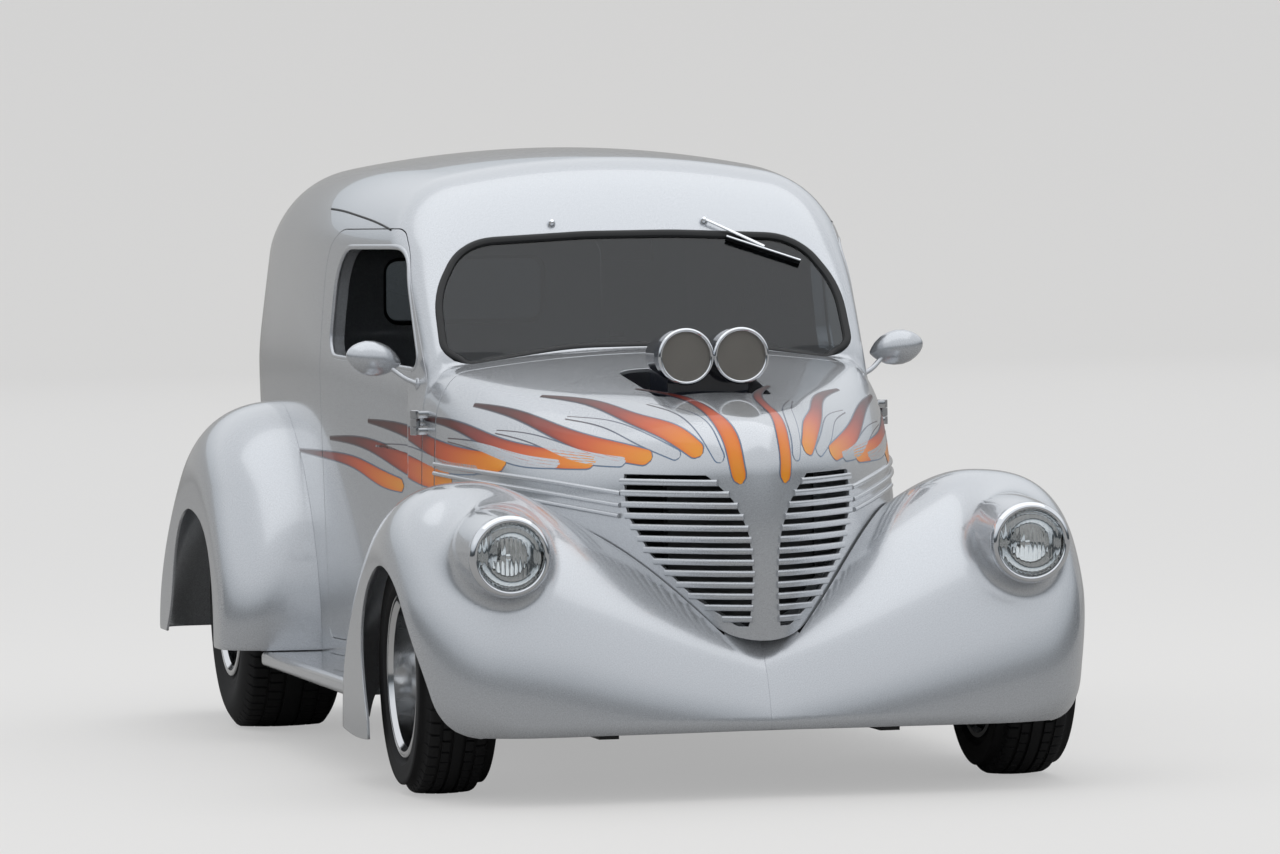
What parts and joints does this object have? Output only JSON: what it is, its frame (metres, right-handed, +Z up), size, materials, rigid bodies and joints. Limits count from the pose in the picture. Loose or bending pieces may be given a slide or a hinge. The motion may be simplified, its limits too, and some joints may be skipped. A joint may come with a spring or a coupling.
{
  "type": "hot rod sedan delivery",
  "caption": "Smooth late-1930s style hot rod delivery car with a louvred prow hood, rounded fenders faired into a front pan, a twin-mouth scoop and opening doors.",
  "frame": {"origin": "on the ground under the middle of the car's bounding box", "axes": "+X towards the car's left, -Y forward, +Z up"},
  "size_m": [1.916, 3.982, 1.6338],
  "materials": {
    "black_rubber": "satin",
    "chrome": "polished",
    "dark_paint": "satin black",
    "iron": "as cast",
    "lamp_glass": "ribbed",
    "rim_metal": "polished",
    "scoop_paint": "gloss blue-black",
    "seat_cloth": "grained",
    "silver_paint": "metallic clear coat",
    "steel": "machined",
    "tinted_glass": "clear",
    "tyre_rubber": "matt"
  },
  "bodies": {
    "root": {"cowl": "silver_paint", "roof_panel": "silver_paint", "tail_panel": "silver_paint", "quarter_left": "silver_paint", "quarter_right": "silver_paint", "windscreen_glass": "tinted_glass", "front_fender_left": "silver_paint", "front_fender_right": "silver_paint", "rear_fender_left": "silver_paint", "rear_fender_right": "silver_paint", "running_board_left": "silver_paint", "running_board_right": "silver_paint", "headlight_left": "lamp_glass", "headlight_right": "lamp_glass", "floor_pan": "dark_paint", "frame_rails": "dark_paint", "front_suspension": "dark_paint", "rear_axle": "dark_paint", "engine_block": "iron", "scoop": "scoop_paint", "scoop_rims": "chrome", "radiator": "dark_paint", "dashboard": "dark_paint", "seats": "seat_cloth", "steering_wheel": "black_rubber", "fuel_tank": "dark_paint"},
    "knuckle_left": {"knuckle_left": "steel"},
    "knuckle_right": {"knuckle_right": "steel"},
    "wheel_front_left": {"front_tyre_left": "tyre_rubber", "front_rim_left": "rim_metal"},
    "wheel_front_right": {"front_tyre_right": "tyre_rubber", "front_rim_right": "rim_metal"},
    "wheel_rear_left": {"rear_tyre_left": "tyre_rubber", "rear_rim_left": "rim_metal"},
    "wheel_rear_right": {"rear_tyre_right": "tyre_rubber", "rear_rim_right": "rim_metal"},
    "door_left": {"door_left": "silver_paint"},
    "door_right": {"door_right": "silver_paint"},
    "rear_door": {"rear_door": "silver_paint", "rear_door_glass": "tinted_glass"},
    "hood": {"hood": "silver_paint"}
  },
  "joints": [
    {"name": "steer_left", "type": "hinge", "parent": "root", "child": "knuckle_left", "pos_m": [0.622, -1.45, 0.3], "axis": [0, 0, 1], "range_deg": [-28, 28]},
    {"name": "wheel_front_left", "type": "hinge", "parent": "knuckle_left", "child": "wheel_front_left", "pos_m": [0.7425, -1.45, 0.3], "axis": [1, 0, 0], "continuous": true},
    {"name": "wheel_rear_left", "type": "hinge", "parent": "root", "child": "wheel_rear_left", "pos_m": [0.728, 1.09, 0.355], "axis": [1, 0, 0], "continuous": true},
    {"name": "door_left", "type": "hinge", "parent": "root", "child": "door_left", "pos_m": [0.632, -0.604, 0.6], "axis": [0, 0, -1], "range_deg": [0, 65]},
    {"name": "steer_right", "type": "hinge", "parent": "root", "child": "knuckle_right", "pos_m": [-0.622, -1.45, 0.3], "axis": [0, 0, 1], "range_deg": [-28, 28]},
    {"name": "wheel_front_right", "type": "hinge", "parent": "knuckle_right", "child": "wheel_front_right", "pos_m": [-0.7425, -1.45, 0.3], "axis": [1, 0, 0], "continuous": true},
    {"name": "wheel_rear_right", "type": "hinge", "parent": "root", "child": "wheel_rear_right", "pos_m": [-0.728, 1.09, 0.355], "axis": [1, 0, 0], "continuous": true},
    {"name": "door_right", "type": "hinge", "parent": "root", "child": "door_right", "pos_m": [-0.632, -0.604, 0.6], "axis": [0, 0, 1], "range_deg": [0, 65]},
    {"name": "rear_door", "type": "hinge", "parent": "root", "child": "rear_door", "pos_m": [0.438, 1.985, 0.9], "axis": [0, 0, -1], "range_deg": [0, 100]},
    {"name": "hood", "type": "hinge", "parent": "root", "child": "hood", "pos_m": [0, -0.7, 1.066], "axis": [-1, 0, 0], "range_deg": [0, 50]}
  ],
  "couplings": [
    {"joint": "steer_right", "follows": "steer_left", "ratio": 1}
  ]
}
